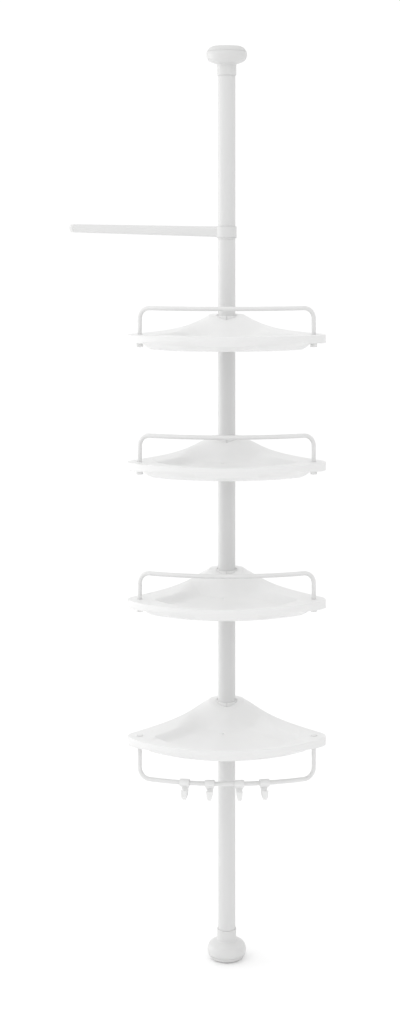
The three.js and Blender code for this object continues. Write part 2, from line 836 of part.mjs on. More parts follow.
function makeTowelArm() {
  const arm = new THREE.Group();
  const linerBore = poleRadius + armLinerGap;
  const linerOuter = linerBore + armLinerWall;
  const ringBore = linerOuter + armLinerGap;
  const ringOuter = ringBore + armRingWall;
  const ringTop = armRingHeight / 2;
  const lipTop = -ringTop - clearance;
  const liner = turned([
    [linerBore, lipTop - armLipHeight],
    [ringOuter, lipTop - armLipHeight],
    [ringOuter, lipTop],
    [linerOuter, lipTop],
    [linerOuter, ringTop],
    [linerBore, ringTop],
    [linerBore, lipTop - armLipHeight],
  ], finePoints);
  arm.add(piece('towel_arm_liner', liner, clampPlastic));
  const ring = toManifold(rod(ringOuter, -ringTop, ringTop, finePoints));
  const bore = toManifold(rod(ringBore, -ringTop - cutOverrun, ringTop + cutOverrun, finePoints));
  const bar = toManifold(armLength(ringBore / 2, armReach - armCapLength - clearance));
  arm.add(piece('towel_arm', fromManifold(ring.add(bar).subtract(bore)), paintedSteel));
  const capStart = armReach - armCapLength;
  const cap = loft([
    armSection(capStart, 1),
    armSection(lerp(capStart, armReach, armCapShoulderShare), 1),
    armSection(armReach, armCapEndShare),
  ], false);
  arm.add(piece('towel_arm_cap', cap, clampPlastic));
  arm.position.z = unitHeight - armDrop;
  arm.rotation.z = degToRad(armYaw);
  return arm;
}

// Assembly

const unit = new THREE.Group();
unit.name = 'tension_pole_shelf_unit';
unit.add(makeFoot('floor_foot', floorFootDiameter));
const ceilingFoot = makeFoot('ceiling_foot', ceilingFootDiameter);
ceilingFoot.rotation.x = Math.PI;
ceilingFoot.position.z = unitHeight;
unit.add(ceilingFoot);
unit.add(makePole());
unit.add(makePlunger());
for (const place of Object.keys(trayHeights)) unit.add(makeShelf(place));
unit.add(makeTowelArm());
unit.updateMatrixWorld(true);

export default unit;
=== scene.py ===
import math

import bmesh
import bpy
import numpy as np
from mathutils import Matrix, Vector


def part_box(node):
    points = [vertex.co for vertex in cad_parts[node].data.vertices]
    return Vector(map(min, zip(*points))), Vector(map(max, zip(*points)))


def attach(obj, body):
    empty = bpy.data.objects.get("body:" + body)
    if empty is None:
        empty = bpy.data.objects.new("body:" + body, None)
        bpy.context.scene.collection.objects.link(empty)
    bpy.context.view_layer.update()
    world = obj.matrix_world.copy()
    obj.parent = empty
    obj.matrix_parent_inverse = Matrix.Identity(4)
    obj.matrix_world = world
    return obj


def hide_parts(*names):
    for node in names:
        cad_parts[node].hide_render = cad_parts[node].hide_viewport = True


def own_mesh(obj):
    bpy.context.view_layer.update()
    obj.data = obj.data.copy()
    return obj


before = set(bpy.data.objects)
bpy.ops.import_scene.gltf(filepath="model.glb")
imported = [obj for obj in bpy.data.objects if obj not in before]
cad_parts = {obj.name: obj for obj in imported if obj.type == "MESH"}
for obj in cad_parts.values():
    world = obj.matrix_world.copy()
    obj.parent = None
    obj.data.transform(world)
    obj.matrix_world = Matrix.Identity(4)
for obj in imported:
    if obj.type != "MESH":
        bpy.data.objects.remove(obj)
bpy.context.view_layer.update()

MM = 0.001

# Pole tubes
# Three lengths of thin steel tube, 25 mm across, stoved with white satin paint. Each is cut square
# with its edges eased, and the next one starts on an inner coupler, so only a fine seam shows.
TUBE_WALL = 1.2 * MM
TUBE_EDGE = 0.35 * MM
ROUND_SIDES = 96
CORNER_SHARE = 0.49  # the most of an edge that one rounded corner takes
NOISE_RANGE = (0.3, 0.7)  # nearly all of a noise texture's values
PAINT_WHITE = (0.685, 0.685, 0.683)
PAINT_SHADE = (0.66, 0.66, 0.658)


def new_material(name):
    material = bpy.data.materials.new(name)
    material.use_nodes = True
    tree = material.node_tree
    return material, tree, tree.nodes["Principled BSDF"]


def noise(tree, scale, detail, stretch=(1, 1, 1)):
    """Noise over the piece's own coordinates in metres, as a factor from 0 to 1."""
    place = tree.nodes.new("ShaderNodeTexCoord")
    mapping = tree.nodes.new("ShaderNodeMapping")
    mapping.inputs["Scale"].default_value = stretch
    texture = tree.nodes.new("ShaderNodeTexNoise")
    texture.inputs["Scale"].default_value = scale
    texture.inputs["Detail"].default_value = detail
    tree.links.new(place.outputs["Object"], mapping.inputs["Vector"])
    tree.links.new(mapping.outputs["Vector"], texture.inputs["Vector"])
    return texture.outputs["Fac"]


def two_tone(tree, shader, light, dark, factor):
    """The shader's colour drifts between two near shades."""
    mix = tree.nodes.new("ShaderNodeMix")
    mix.data_type = "RGBA"
    mix.inputs["A"].default_value = (*light, 1)
    mix.inputs["B"].default_value = (*dark, 1)
    tree.links.new(factor, mix.inputs["Factor"])
    tree.links.new(mix.outputs["Result"], shader.inputs["Base Color"])


def uneven_gloss(tree, shader, factor, low, high):
    """The shader's roughness drifts between two values, as handled surfaces do."""
    spread = tree.nodes.new("ShaderNodeMapRange")
    spread.inputs["From Min"].default_value = NOISE_RANGE[0]
    spread.inputs["From Max"].default_value = NOISE_RANGE[1]
    spread.inputs["To Min"].default_value = low
    spread.inputs["To Max"].default_value = high
    tree.links.new(factor, spread.inputs["Value"])
    tree.links.new(spread.outputs["Result"], shader.inputs["Roughness"])


def grain(tree, shader, height, depth):
    """A bump of the given depth in metres."""
    bump = tree.nodes.new("ShaderNodeBump")
    bump.inputs["Strength"].default_value = 1
    bump.inputs["Distance"].default_value = depth
    tree.links.new(height, bump.inputs["Height"])
    tree.links.new(bump.outputs["Normal"], shader.inputs["Normal"])


def stoved_paint():
    material, tree, shader = new_material("stoved_white_paint")
    drift = noise(tree, scale=14, detail=3, stretch=(1, 1, 0.3))
    two_tone(tree, shader, PAINT_WHITE, PAINT_SHADE, drift)
    uneven_gloss(tree, shader, noise(tree, scale=30, detail=4), low=0.38, high=0.48)
    grain(tree, shader, noise(tree, scale=900, detail=2), depth=0.02 * MM)
    return material


def smooth(piece, angle=35):
    """Smooth shading that keeps edges sharper than an angle in degrees."""
    piece.data.polygons.foreach_set("use_smooth", [True] * len(piece.data.polygons))
    piece.data.set_sharp_from_angle(angle=math.radians(angle))
    return piece


def mesh_piece(name, points, faces):
    mesh = bpy.data.meshes.new(name)
    mesh.from_pydata([tuple(p) for p in points], [], faces)
    skin = bmesh.new()
    skin.from_mesh(mesh)
    bmesh.ops.recalc_face_normals(skin, faces=skin.faces)
    skin.to_mesh(mesh)
    skin.free()
    piece = bpy.data.objects.new(name, mesh)
    bpy.context.scene.collection.objects.link(piece)
    return piece


def grid_faces(rows, columns, closed_rows, closed_columns):
    """Quads over a grid of points stored row by row."""
    faces = []
    for i in range(rows if closed_rows else rows - 1):
        for j in range(columns if closed_columns else columns - 1):
            i_next = (i + 1) % rows
            j_next = (j + 1) % columns
            near = i * columns
            far = i_next * columns
            faces.append((near + j, near + j_next, far + j_next, far + j))
    return faces


def turned(name, profile, sides=ROUND_SIDES):
    """A solid of revolution about Z from a closed profile of (radius, height), outer side going up.
    A profile that starts and ends on the axis is closed there."""
    open_ended = profile[0][0] == 0
    ring = profile[1:-1] if open_ended else profile
    points = []
    for radius, height in ring:
        for k in range(sides):
            turn = 2 * math.pi * k / sides
            points.append((radius * math.cos(turn), radius * math.sin(turn), height))
    faces = grid_faces(len(ring), sides, not open_ended, True)
    if open_ended:
        points += [(0, 0, profile[0][1]), (0, 0, profile[-1][1])]
        last = (len(ring) - 1) * sides
        for k in range(sides):
            k_next = (k + 1) % sides
            faces.append((len(points) - 2, k_next, k))
            faces.append((len(points) - 1, last + k, last + k_next))
    return mesh_piece(name, points, faces)


def rounded(profile, radii, closed=True, steps=5):
    """A profile with its corners rounded: one radius for each corner, 0 for a sharp one."""
    count = len(profile)
    result = []
    for i, corner in enumerate(profile):
        at = Vector(corner)
        if radii[i] == 0 or (not closed and i in (0, count - 1)):
            result.append(tuple(at))
            continue
        before = Vector(profile[i - 1]) - at
        after = Vector(profile[(i + 1) % count]) - at
        cut = min(radii[i], before.length * CORNER_SHARE, after.length * CORNER_SHARE)
        start = at + before.normalized() * cut
        end = at + after.normalized() * cut
        for k in range(steps + 1):
            t = k / steps
            result.append(tuple(start * (1 - t) ** 2 + at * 2 * t * (1 - t) + end * t ** 2))
    return result


def dress(piece, material, body, node):
    """Gives a piece its material and its CAD body, and hides the CAD node that it stands for."""
    piece.data.materials.clear()
    piece.data.materials.append(material)
    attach(piece, body)
    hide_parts(node)


paint = stoved_paint()
POLE_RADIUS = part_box("lower_tube")[1].x
for part in ("lower", "middle", "upper"):
    low, high = (corner.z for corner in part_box(f"{part}_tube"))
    inner = POLE_RADIUS - TUBE_WALL
    section = [(inner, low), (POLE_RADIUS, low), (POLE_RADIUS, high), (inner, high)]
    tube = smooth(turned(f"{part}_pole_tube", rounded(section, [TUBE_EDGE] * 4, steps=3)))
    dress(tube, paint, "pole", f"{part}_tube")

# Tube couplers
# A short steel sleeve inside each seam of the pole, zinc plated, pressed into the lower tube and a
# push fit in the upper one. Nothing of them shows once the pole is together.
ZINC_LIGHT = (0.62, 0.64, 0.66)
ZINC_DARK = (0.5, 0.52, 0.55)
COUPLER_WALL = 1.4 * MM
COUPLER_CHAMFER = 1 * MM


def zinc_plate():
    material, tree, shader = new_material("zinc_plated_steel")
    two_tone(tree, shader, ZINC_LIGHT, ZINC_DARK, noise(tree, scale=120, detail=5))
    streaks = noise(tree, scale=200, detail=3, stretch=(1, 1, 0.1))
    uneven_gloss(tree, shader, streaks, low=0.3, high=0.45)
    grain(tree, shader, noise(tree, scale=1500, detail=2, stretch=(1, 1, 0.2)), depth=0.01 * MM)
    shader.inputs["Metallic"].default_value = 1
    return material


zinc = zinc_plate()
for part in ("lower", "upper"):
    low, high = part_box(f"{part}_coupler")
    outer = high.x
    inner = outer - COUPLER_WALL
    section = [(inner, low.z), (outer, low.z), (outer, high.z), (inner, high.z)]
    profile = rounded(section, [0, COUPLER_CHAMFER, COUPLER_CHAMFER, 0])
    sleeve = smooth(turned(f"{part}_coupler_sleeve", profile))
    dress(sleeve, zinc, "pole", f"{part}_coupler")

# Foot cups
# A white moulded cup at each end of the pole: a domed body that hides the pad's rim, and a neck
# that grips the tube. The ceiling one is a little larger and stands upside down.
CUP_WHITE = (0.68, 0.68, 0.677)
CUP_SHADE = (0.655, 0.655, 0.652)
NECK_RADIUS = 13.8 * MM
NECK_EDGE = 0.9 * MM
CUP_RIM_EASE = 0.27 * MM
BORE_PLAY = 0.12 * MM
CUP_BORE = POLE_RADIUS + BORE_PLAY
CUP_WEB = 3 * MM
CUP_START = 7.3 * MM  # this and the next two are heights of the floor cup over the floor
CUP_SHOULDER = 25.5 * MM
CUP_END = 42 * MM
CUP_BODY_SHARE = (CUP_SHOULDER - CUP_START) / (CUP_END - CUP_START)
CUP_CURVE_SHARES = [(0, 0.95), (0.27, 1), (0.55, 0.93), (0.76, 0.76), (0.9, 0.44), (1, 0.1)]
CUP_CURVE_STEPS = 28


def moulded_plastic(name, light, shade, gloss, grain_depth):
    """Plastic with two near shades and a (low, high) roughness."""
    material, tree, shader = new_material(name)
    two_tone(tree, shader, light, shade, noise(tree, scale=22, detail=4))
    uneven_gloss(tree, shader, noise(tree, scale=45, detail=5), *gloss)
    grain(tree, shader, noise(tree, scale=1400, detail=3), grain_depth)
    shader.inputs["Subsurface Weight"].default_value = 0.06
    shader.inputs["Subsurface Radius"].default_value = (0.003, 0.003, 0.003)
    shader.inputs["IOR"].default_value = 1.53
    return material


def eased_curve(knots, steps):
    """A smooth curve through the knots, as a list of points: Catmull and Rom's cubic."""
    knots = [Vector(k) for k in knots]
    padded_knots = [knots[0] * 2 - knots[1], *knots, knots[-1] * 2 - knots[-2]]
    curve = []
    spans = len(knots) - 1
    for k in range(steps + 1):
        along = spans * k / steps
        i = min(int(along), spans - 1)
        t = along - i
        a, b, c, d = padded_knots[i:i + 4]
        square = (2 * a - 5 * b + 4 * c - d) * t ** 2
        cube = (3 * b - a - 3 * c + d) * t ** 3
        curve.append(tuple(0.5 * (2 * b + (c - a) * t + square + cube)))
    return curve


def turned_over(profile, middle):
    """The same profile upside down about a height, still with its outer side going up."""
    return [(radius, 2 * middle - height) for radius, height in reversed(profile)]


cup_plastic = moulded_plastic("foot_plastic", CUP_WHITE, CUP_SHADE, (0.34, 0.44), 0.012 * MM)
for part, body in (("floor", "pole"), ("ceiling", "ceiling_foot")):
    low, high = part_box(f"{part}_foot_cup")
    full = high.x
    height = high.z - low.z
    shoulder = low.z + height * CUP_BODY_SHARE
    knots = [(NECK_RADIUS + (full - NECK_RADIUS) * reach, low.z + (shoulder - low.z) * rise)
             for rise, reach in CUP_CURVE_SHARES]
    dome = eased_curve(knots, CUP_CURVE_STEPS)
    rim = [(0, low.z), (dome[0][0] - NECK_EDGE, low.z)]
    neck_corners = [dome[-1], (NECK_RADIUS, shoulder + NECK_EDGE), (NECK_RADIUS, high.z),
                    (CUP_BORE, high.z), (CUP_BORE, low.z + CUP_WEB), (0, low.z + CUP_WEB)]
    neck = rounded(neck_corners, [0, NECK_EDGE, NECK_EDGE, NECK_EDGE / 2, 0, 0], closed=False)
    profile = [*rim, (dome[0][0] - CUP_RIM_EASE, low.z + CUP_RIM_EASE), *dome[1:], *neck[1:]]
    if part == "ceiling":
        profile = turned_over(profile, (low.z + high.z) / 2)
    cup = smooth(turned(f"{part}_foot_shell", profile), angle=40)
    dress(cup, cup_plastic, body, f"{part}_foot_cup")

# Foot pads
# Pale soft rubber discs pushed into the cups, with grip rings moulded on the face that meets the
# floor or the ceiling.
RUBBER_LIGHT = (0.68, 0.68, 0.675)
RUBBER_DARK = (0.64, 0.64, 0.635)
GRIP_RINGS = 4
FIRST_RING_SHARE = 0.6
GRIP_DEPTH = 0.9 * MM
GRIP_WIDTH = 1.4 * MM
PAD_EDGE = 1.2 * MM
PAD_CURVE_SHARES = [(0, 0.42), (0.3, 0.72), (1, 0.93)]
PAD_SEAT = 0.3 * MM


def soft_rubber():
    material, tree, shader = new_material("pale_rubber")
    two_tone(tree, shader, RUBBER_LIGHT, RUBBER_DARK, noise(tree, scale=60, detail=4))
    uneven_gloss(tree, shader, noise(tree, scale=90, detail=3), low=0.62, high=0.8)
    grain(tree, shader, noise(tree, scale=1800, detail=4), depth=0.03 * MM)
    return material


rubber = soft_rubber()
for part, body in (("floor", "pole"), ("ceiling", "ceiling_foot")):
    low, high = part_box(f"{part}_foot_pad")
    widest = high.x
    share = PAD_CURVE_SHARES[-1][1]
    full = NECK_RADIUS + (widest - NECK_RADIUS) / share
    height = high.z - low.z
    face = low.z
    edge = [(NECK_RADIUS + (full - NECK_RADIUS) * reach, face + height * rise)
            for rise, reach in PAD_CURVE_SHARES]
    profile = [(0, face)]
    for ring in range(GRIP_RINGS):
        centre = edge[0][0] * (ring + FIRST_RING_SHARE) / GRIP_RINGS
        profile += [(centre - GRIP_WIDTH / 2, face), (centre - GRIP_WIDTH / 3, face + GRIP_DEPTH),
                    (centre + GRIP_WIDTH / 3, face + GRIP_DEPTH), (centre + GRIP_WIDTH / 2, face)]
    seat = (edge[2][0], high.z + PAD_SEAT)
    side = [edge[0], edge[1], seat, (0, seat[1])]
    profile += rounded(side, [0, 2 * PAD_EDGE, 0, 0], closed=False)
    if part == "ceiling":
        profile = turned_over(profile, (low.z + high.z) / 2)
    pad = smooth(turned(f"{part}_foot_rubber", profile), angle=40)
    dress(pad, rubber, body, f"{part}_foot_pad")

# Plunger and spring
# The pole is held by a coil spring in the upper tube. It stands on a seat in the tube and pushes a
# follower and a steel rod up into the ceiling foot, through a guide in the tube's mouth.
NYLON_LIGHT = (0.66, 0.66, 0.65)
NYLON_DARK = (0.6, 0.6, 0.59)
SLIDER_CHAMFER = 0.8 * MM
SLIDER_SIDES = 48
GUIDE_CLEARANCE = 0.3 * MM
SPRING_TURNS = 10
SPRING_CLOSED_TURNS = 1.5
SPRING_WIRE = 1.6 * MM
SPRING_CLOSED_PITCH = SPRING_WIRE * 1.02
SPRING_STEPS = 28
SPRING_SIDES = 12
SPRING_TIP = 0.1 * MM


def lofted(name, sections):
    """A solid through sections of equally many points, with flat ends."""
    count = len(sections[0])
    points = [point for section in sections for point in section]
    faces = grid_faces(len(sections), count, False, True)
    faces.append(tuple(range(count)))
    faces.append(tuple(range(len(points) - count, len(points))))
    return mesh_piece(name, points, faces)


def ring_points(radius, sides):
    turns = [2 * math.pi * k / sides for k in range(sides)]
    return [(radius * math.cos(turn), radius * math.sin(turn)) for turn in turns]


def round_wire(name, path, radius, sides, end_edge):
    """A wire of round section along a path of points, with eased ends."""
    path = [Vector(p) for p in path]
    first = (path[1] - path[0]).normalized()
    last = (path[-1] - path[-2]).normalized()
    line = [path[0], path[0] + first * end_edge, *path[1:-1], path[-1] - last * end_edge, path[-1]]
    end = len(line) - 1
    side = first.orthogonal()
    sections = []
    for i, at in enumerate(line):
        along = (line[min(i + 1, end)] - line[max(i - 1, 0)]).normalized()
        side = (side - along * side.dot(along)).normalized()
        up = along.cross(side)
        size = radius - end_edge if i in (0, end) else radius
        sections.append([at + side * a + up * b for a, b in ring_points(size, sides)])
    return lofted(name, sections)


nylon = moulded_plastic("guide_nylon", NYLON_LIGHT, NYLON_DARK, (0.4, 0.55), 0.015 * MM)
for part, body, material, slot_name in (("plunger_guide", "pole", nylon, "clamp_white"),
                                        ("plunger_rod", "ceiling_foot", zinc, "plated_steel"),
                                        ("plunger_follower", "ceiling_foot", nylon, "clamp_white"),
                                        ("spring_seat", "pole", nylon, "clamp_white")):
    low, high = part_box(part)
    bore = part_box("plunger_rod")[1].x + GUIDE_CLEARANCE if part == "plunger_guide" else 0
    section = [(bore, low.z), (high.x, low.z), (high.x, high.z), (bore, high.z)]
    profile = rounded(section, [0, SLIDER_CHAMFER, SLIDER_CHAMFER, 0], closed=bore > 0)
    dress(smooth(turned(f"{part}_turned", profile, SLIDER_SIDES)), material, body, part)

low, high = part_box("plunger_spring")
coil_radius = high.x - SPRING_WIRE / 2
coil_low = low.z + SPRING_WIRE / 2
coil_high = high.z - SPRING_WIRE / 2
free_turns = SPRING_TURNS - 2 * SPRING_CLOSED_TURNS
free_length = coil_high - coil_low - 2 * SPRING_CLOSED_TURNS * SPRING_CLOSED_PITCH
coil = []
for k in range(SPRING_TURNS * SPRING_STEPS + 1):
    turn = k / SPRING_STEPS
    open_turns = min(max(turn - SPRING_CLOSED_TURNS, 0), free_turns)
    rise = (turn - open_turns) * SPRING_CLOSED_PITCH + open_turns / free_turns * free_length
    angle = 2 * math.pi * turn
    coil.append((coil_radius * math.cos(angle), coil_radius * math.sin(angle), coil_low + rise))
spring = round_wire("plunger_coil", coil, SPRING_WIRE / 2, SPRING_SIDES, SPRING_TIP)
dress(smooth(spring, angle=50), zinc, "pole", "plunger_spring")
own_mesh(spring)

# Trays
# One moulded white tray, used four times: a quarter-round shelf whose back rises into a hump round
# the pole. It has a sunk floor between two broad banks, ears for the wire rail and a ribbed hollow
# underneath.
TRAY_LIGHT = (0.80, 0.80, 0.797)
TRAY_SHADE = (0.775, 0.775, 0.772)
TRAY_WIDTH = 276 * MM
TRAY_FRONT = 178 * MM
TRAY_BACK = 19 * MM
TRAY_BACK_WIDTH = 48 * MM
TRAY_DEPTH = 21 * MM
TRAY_WALL = 2.6 * MM
FLOOR_DROP = 8 * MM
RIM_WIDTH = 4 * MM
RIM_EDGE = 1.4 * MM
EAR_LOW_EDGE = 0.8 * MM
FRONT_LIFT = 2 * MM
FRONT_LIFT_START = 110 * MM
FRONT_EDGE = 3.5 * MM
EAR_RADIUS = 17 * MM
EAR_THICKNESS = 11.5 * MM
HUMP_RISE = 21.6 * MM
HUMP_TOP = 25 * MM
HUMP_SPREAD = 31 * MM
COLLAR_RISE = 13.5 * MM
MOUND_START = 16 * MM
MOUND_END = 60 * MM
BANK_WIDTH = 47 * MM
BANK_STEP = 15 * MM
STEP_NEAR = 50 * MM
STEP_FAR = 100 * MM
FLOOR_SLOPE = 4 * MM
DISH_SIDE_MARGIN = 31 * MM
DISH_FRONT_MARGIN = 6 * MM
DISH_CORNER = 28 * MM
DISH_LEAST = 0.5  # the dish's least reach, as a share of the way out to the tray's edge
FLOOR_LEAST = 0.8  # the same for the floor in the dish, and for the mound on the floor
BODY_SIDE_SETBACK = 23 * MM
BODY_CORNER = 14 * MM
BODY_TOP_MARGINS = (22 * MM, 3 * MM)  # at each side and in front
BODY_LOW_MARGINS = (33 * MM, 36 * MM)
BODY_BEND = (0.42, 0.58)  # where the body's side bends, as shares of its way in and down
BODY_BEND_ROUND = 12 * MM
BODY_LOW_ROUND = 5 * MM
SIDE_OFFSET = TRAY_BACK_WIDTH / 2 + TRAY_BACK
BORE_TOP = 14.75 * MM
LIP_DEPTH = 0.5 * MM
LIP_CHAMFER = (0.15 * MM, 0.12 * MM)
BORE_BOTTOM = 16.3 * MM
HUB_WALL = 4 * MM
OUTLINE_STATIONS = 300
FINE_STATIONS = 20001
MOUND_STEPS = 12
FLOOR_STEPS = 8
SLOPE_STEPS = 7
SKIN_SHRINK = 0.06 * MM


def corner_plan(side, back, width, front, corner):
    """A quarter-round plan: straight back, sides at 45 degrees, round ears and a front arc."""
    ear_x = width / 2 - corner
    ear_forward = ear_x - side + corner * math.sqrt(2)
    rest = front - corner
    arc_centre = (rest ** 2 - ear_x ** 2 - ear_forward ** 2) / (2 * (rest - ear_forward))
    arc_radius = front - arc_centre
    to_ear = Vector((ear_x, ear_forward - arc_centre)).normalized() * arc_radius
    side_x = ear_x + corner * math.sqrt(0.5)
    side_forward = ear_forward - corner * math.sqrt(0.5)
    return {
        "side": side, "back": back, "corner": corner, "ear_x": ear_x, "ear_forward": ear_forward,
        "arc_centre": arc_centre, "arc_radius": arc_radius,
        "front_end": math.atan2(to_ear.x, to_ear.y + arc_centre),
        "side_start": math.atan2(side_x, side_forward),
    }


def reach_of(plan, angle):
    """Distance from the pole's axis to a plan's outline, at an angle from the front."""
    across = math.sin(abs(angle))
    ahead = math.cos(angle)
    if abs(angle) <= plan["front_end"]:
        offset = plan["arc_centre"] * across
        return plan["arc_centre"] * ahead + math.sqrt(plan["arc_radius"] ** 2 - offset ** 2)
    if abs(angle) < plan["side_start"]:
        along = plan["ear_x"] * across + plan["ear_forward"] * ahead
        aside = plan["ear_x"] * ahead - plan["ear_forward"] * across
        return along + math.sqrt(max(plan["corner"] ** 2 - aside ** 2, 0))
    to_side = plan["side"] / (across - ahead)
    to_back = plan["back"] / -ahead if ahead < 0 else math.inf
    return min(to_side, to_back)


def body_plan(side_margin, front_margin):
    """The hollow body's plan at one level, drawn in from the tray's sides and front."""
    side = SIDE_OFFSET - BODY_SIDE_SETBACK * math.sqrt(2)
    width = TRAY_WIDTH - 2 * side_margin
    return corner_plan(side, TRAY_BACK, width, TRAY_FRONT - front_margin, BODY_CORNER)


outer_plan = corner_plan(SIDE_OFFSET, TRAY_BACK, TRAY_WIDTH, TRAY_FRONT, EAR_RADIUS)
dish_plan = corner_plan(SIDE_OFFSET - RIM_WIDTH * math.sqrt(2), TRAY_BACK - RIM_WIDTH,
                        TRAY_WIDTH - 2 * DISH_SIDE_MARGIN, TRAY_FRONT - DISH_FRONT_MARGIN,
                        DISH_CORNER)
body_top_plan = body_plan(*BODY_TOP_MARGINS)
body_low_plan = body_plan(*BODY_LOW_MARGINS)


def eased(value, start, end):
    t = min(max((value - start) / (end - start), 0), 1)
    return t * t * (3 - 2 * t)


def between(start, end, share):
    return start + (end - start) * share


def rim_height(reach, forward):
    hump = HUMP_RISE * math.exp(-max(0, reach - HUMP_TOP) / HUMP_SPREAD)
    return hump + FRONT_LIFT * eased(forward, FRONT_LIFT_START, TRAY_FRONT)


def floor_height(angle, reach):
    """The mound falls from the collar to the floor. A flat bank along each side ends in a step."""
    across = abs(reach * math.sin(angle))
    forward = reach * math.cos(angle)
    collar_share = min(max((forward + TRAY_BACK) / (2 * TRAY_BACK), 0), 1)
    collar = between(HUMP_RISE, COLLAR_RISE, collar_share)
    mound = between(collar, -FLOOR_DROP, eased(reach, MOUND_START, MOUND_END))
    from_side = (SIDE_OFFSET - across + forward) / math.sqrt(2)
    step_start = between(RIM_WIDTH, BANK_WIDTH - BANK_STEP, eased(reach, STEP_NEAR, STEP_FAR))
    return between(rim_height(reach, 0), mound, eased(from_side, step_start, BANK_WIDTH))


def outline_angles():
    """Angles round the pole at even steps along the tray's outline, closed at the back."""
    fine = np.linspace(-math.pi, math.pi, FINE_STATIONS)
    reach = np.array([reach_of(outer_plan, a) for a in fine])
    x = reach * np.sin(fine)
    y = -reach * np.cos(fine)
    length = np.concatenate([[0], np.cumsum(np.hypot(np.diff(x), np.diff(y)))])
    even = np.linspace(0, length[-1], OUTLINE_STATIONS, endpoint=False)
    return np.interp(even, length, fine)


def tray_spoke(angle):
    """The tray's section along one spoke as (reach, height), from the bore out over the floor and
    rim, down the edge and back in under the body."""
    ahead = math.cos(angle)
    outer = reach_of(outer_plan, angle) - SKIN_SHRINK
    dish = max(reach_of(dish_plan, angle), between(BORE_TOP, outer, DISH_LEAST))
    floor_edge = max(dish - FLOOR_SLOPE, between(BORE_TOP, dish, FLOOR_LEAST))
    mound_limit = min(MOUND_END, between(BORE_TOP, floor_edge, FLOOR_LEAST))
    hub = BORE_BOTTOM + HUB_WALL
    body_top = min(max(reach_of(body_top_plan, angle), hub + TRAY_WALL), outer)
    body_low = min(max(reach_of(body_low_plan, angle), hub), body_top)
    rim = rim_height(outer, outer * ahead)
    edge_share = eased(outer * ahead, FRONT_LIFT_START, TRAY_FRONT)
    edge_low = -between(EAR_THICKNESS, FRONT_EDGE, edge_share)
    lip = floor_height(angle, BORE_TOP)
    spoke = [(BORE_TOP, lip - LIP_DEPTH), (BORE_TOP + LIP_CHAMFER[0], lip - LIP_CHAMFER[1])]
    for start, end, steps in ((BORE_TOP, mound_limit, MOUND_STEPS),
                              (mound_limit, floor_edge, FLOOR_STEPS)):
        for k in range(1, steps + 1):
            reach = between(start, end, k / steps)
            spoke.append((reach, floor_height(angle, reach)))
    base = floor_height(angle, floor_edge)
    for k in range(1, SLOPE_STEPS + 1):
        share = k / SLOPE_STEPS
        spoke.append((between(floor_edge, dish, share), between(base, rim, eased(share, 0, 1))))
    edge = rounded([(dish, rim), (outer, rim), (outer, edge_low),
                    (body_top, min(-EAR_THICKNESS, edge_low))],
                   [0, RIM_EDGE, EAR_LOW_EDGE, 0], closed=False, steps=4)
    bend_in = between(body_top, body_low, BODY_BEND[0])
    bend_down = between(EAR_THICKNESS, TRAY_DEPTH, BODY_BEND[1])
    side = rounded([(body_top, -EAR_THICKNESS), (bend_in, -bend_down), (body_low, -TRAY_DEPTH),
                    (body_low - TRAY_WALL, -TRAY_DEPTH)],
                   [0, BODY_BEND_ROUND, BODY_LOW_ROUND, 0], closed=False, steps=6)
    return [*spoke, *edge[1:], *side[1:-1], (hub, -TRAY_DEPTH), (BORE_BOTTOM, -TRAY_DEPTH)]


def on_spoke(angle, reach, height):
    return Vector((reach * math.sin(angle), -reach * math.cos(angle), height))


def tray_skin():
    spokes = [(angle, tray_spoke(angle)) for angle in outline_angles()]
    rows = len(spokes[0][1])
    points = [on_spoke(angle, *spoke[row]) for row in range(rows) for angle, spoke in spokes]
    return mesh_piece("tray_master", points, grid_faces(rows, len(spokes), True, True))


def joined(name, pieces):
    """One mesh from several pieces, which are used up."""
    whole = bmesh.new()
    for piece in pieces:
        whole.from_mesh(piece.data)
        bpy.data.objects.remove(piece)
    mesh = bpy.data.meshes.new(name)
    whole.to_mesh(mesh)
    whole.free()
    result = bpy.data.objects.new(name, mesh)
    bpy.context.scene.collection.objects.link(result)
    return result


def applied(piece, step):
    """The piece with its one modifier worked into the mesh."""
    bpy.context.view_layer.update()
    evaluated = piece.evaluated_get(bpy.context.evaluated_depsgraph_get())
    made = bpy.data.meshes.new_from_object(evaluated)
    piece.modifiers.remove(step)
    piece.data = made
    return piece


def boolean(piece, tool, operation):
    """Cuts or joins a piece with a tool, which is used up."""
    step = piece.modifiers.new("boolean", "BOOLEAN")
    step.operation = operation
    step.solver = "EXACT"
    step.object = tool
    applied(piece, step)
    bpy.data.objects.remove(tool)
    return piece


CUT_OVERRUN = 4 * MM
RIB_ANGLES = [-29, -14, 14, 29]
RIB_THICKNESS = 2.4 * MM
HOLLOW_LIMIT = 43
HOLLOW_START = 27 * MM
HOLLOW_CORNER = 4 * MM
HOLLOW_EASE = 1.6 * MM
HOLLOW_EASE_MIDDLE = 0.5 * MM
HOLLOW_TOP = -FLOOR_DROP - TRAY_WALL
HOLLOW_LEVELS = [(-TRAY_DEPTH - CUT_OVERRUN, 0), (HOLLOW_TOP - HOLLOW_EASE, 0),
                 (HOLLOW_TOP - HOLLOW_EASE_MIDDLE, HOLLOW_EASE_MIDDLE), (HOLLOW_TOP, HOLLOW_EASE)]
HOLLOW_STATIONS = 9


